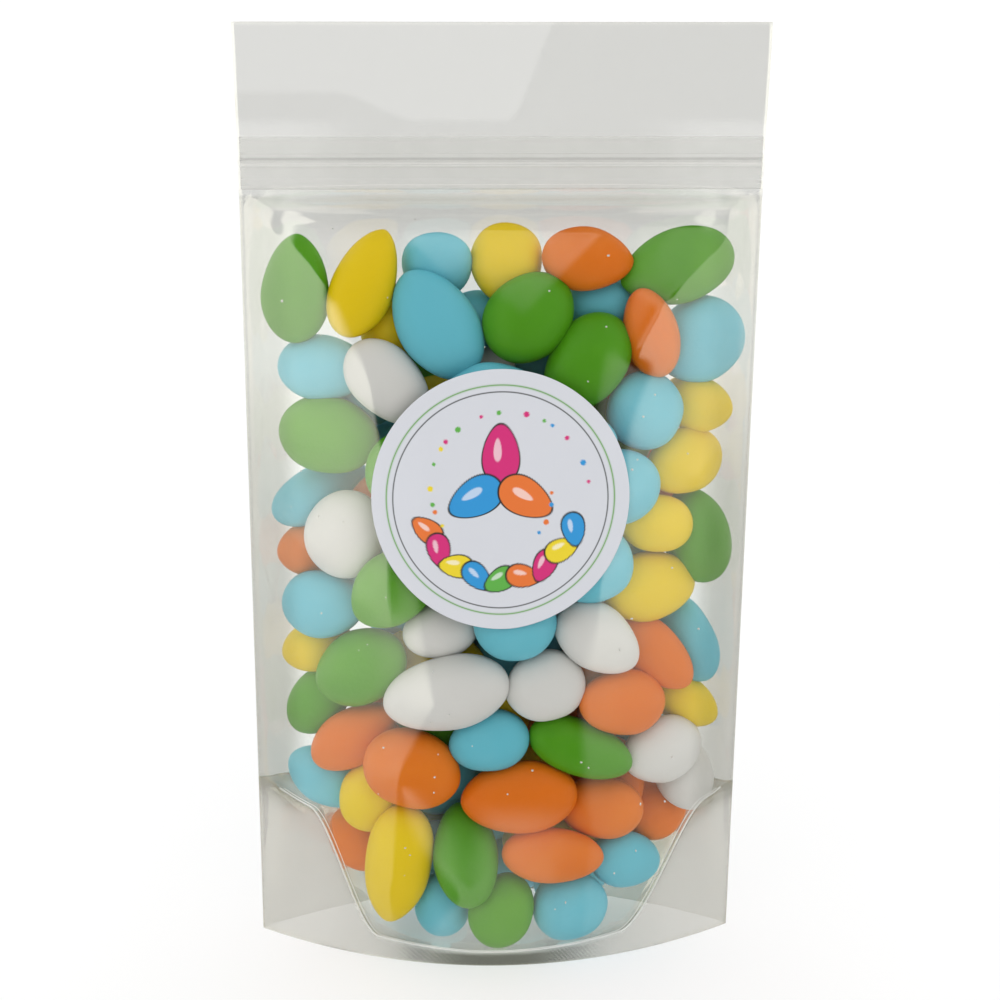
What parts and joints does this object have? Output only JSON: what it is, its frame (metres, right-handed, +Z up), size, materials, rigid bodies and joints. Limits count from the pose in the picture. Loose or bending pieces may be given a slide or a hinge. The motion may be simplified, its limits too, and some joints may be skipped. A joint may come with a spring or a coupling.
{
  "type": "stand-up pouch of sugared almonds",
  "caption": "Clear stand-up pouch with a press-to-close header, a folded foot and a round front label, filled with pastel sugared almonds.",
  "frame": {"origin": "on the floor, at the middle of the pouch's box", "axes": "+Z up along the pouch, front with the label faces -Y, +X to the right seen from the front"},
  "size_m": [0.129, 0.0506, 0.238],
  "materials": {
    "clear_film": "clear glossy plastic film",
    "zip_plastic": "milky satin plastic",
    "label_paper": "satin printed sticker",
    "sugar_green": "smooth sugar shell",
    "sugar_yellow": "smooth sugar shell",
    "sugar_blue": "smooth sugar shell",
    "sugar_orange": "smooth sugar shell",
    "sugar_white": "smooth sugar shell"
  },
  "bodies": {
    "root": {"pouch": "clear_film", "zip_strip": "zip_plastic", "label": "label_paper"}
  },
  "joints": []
}
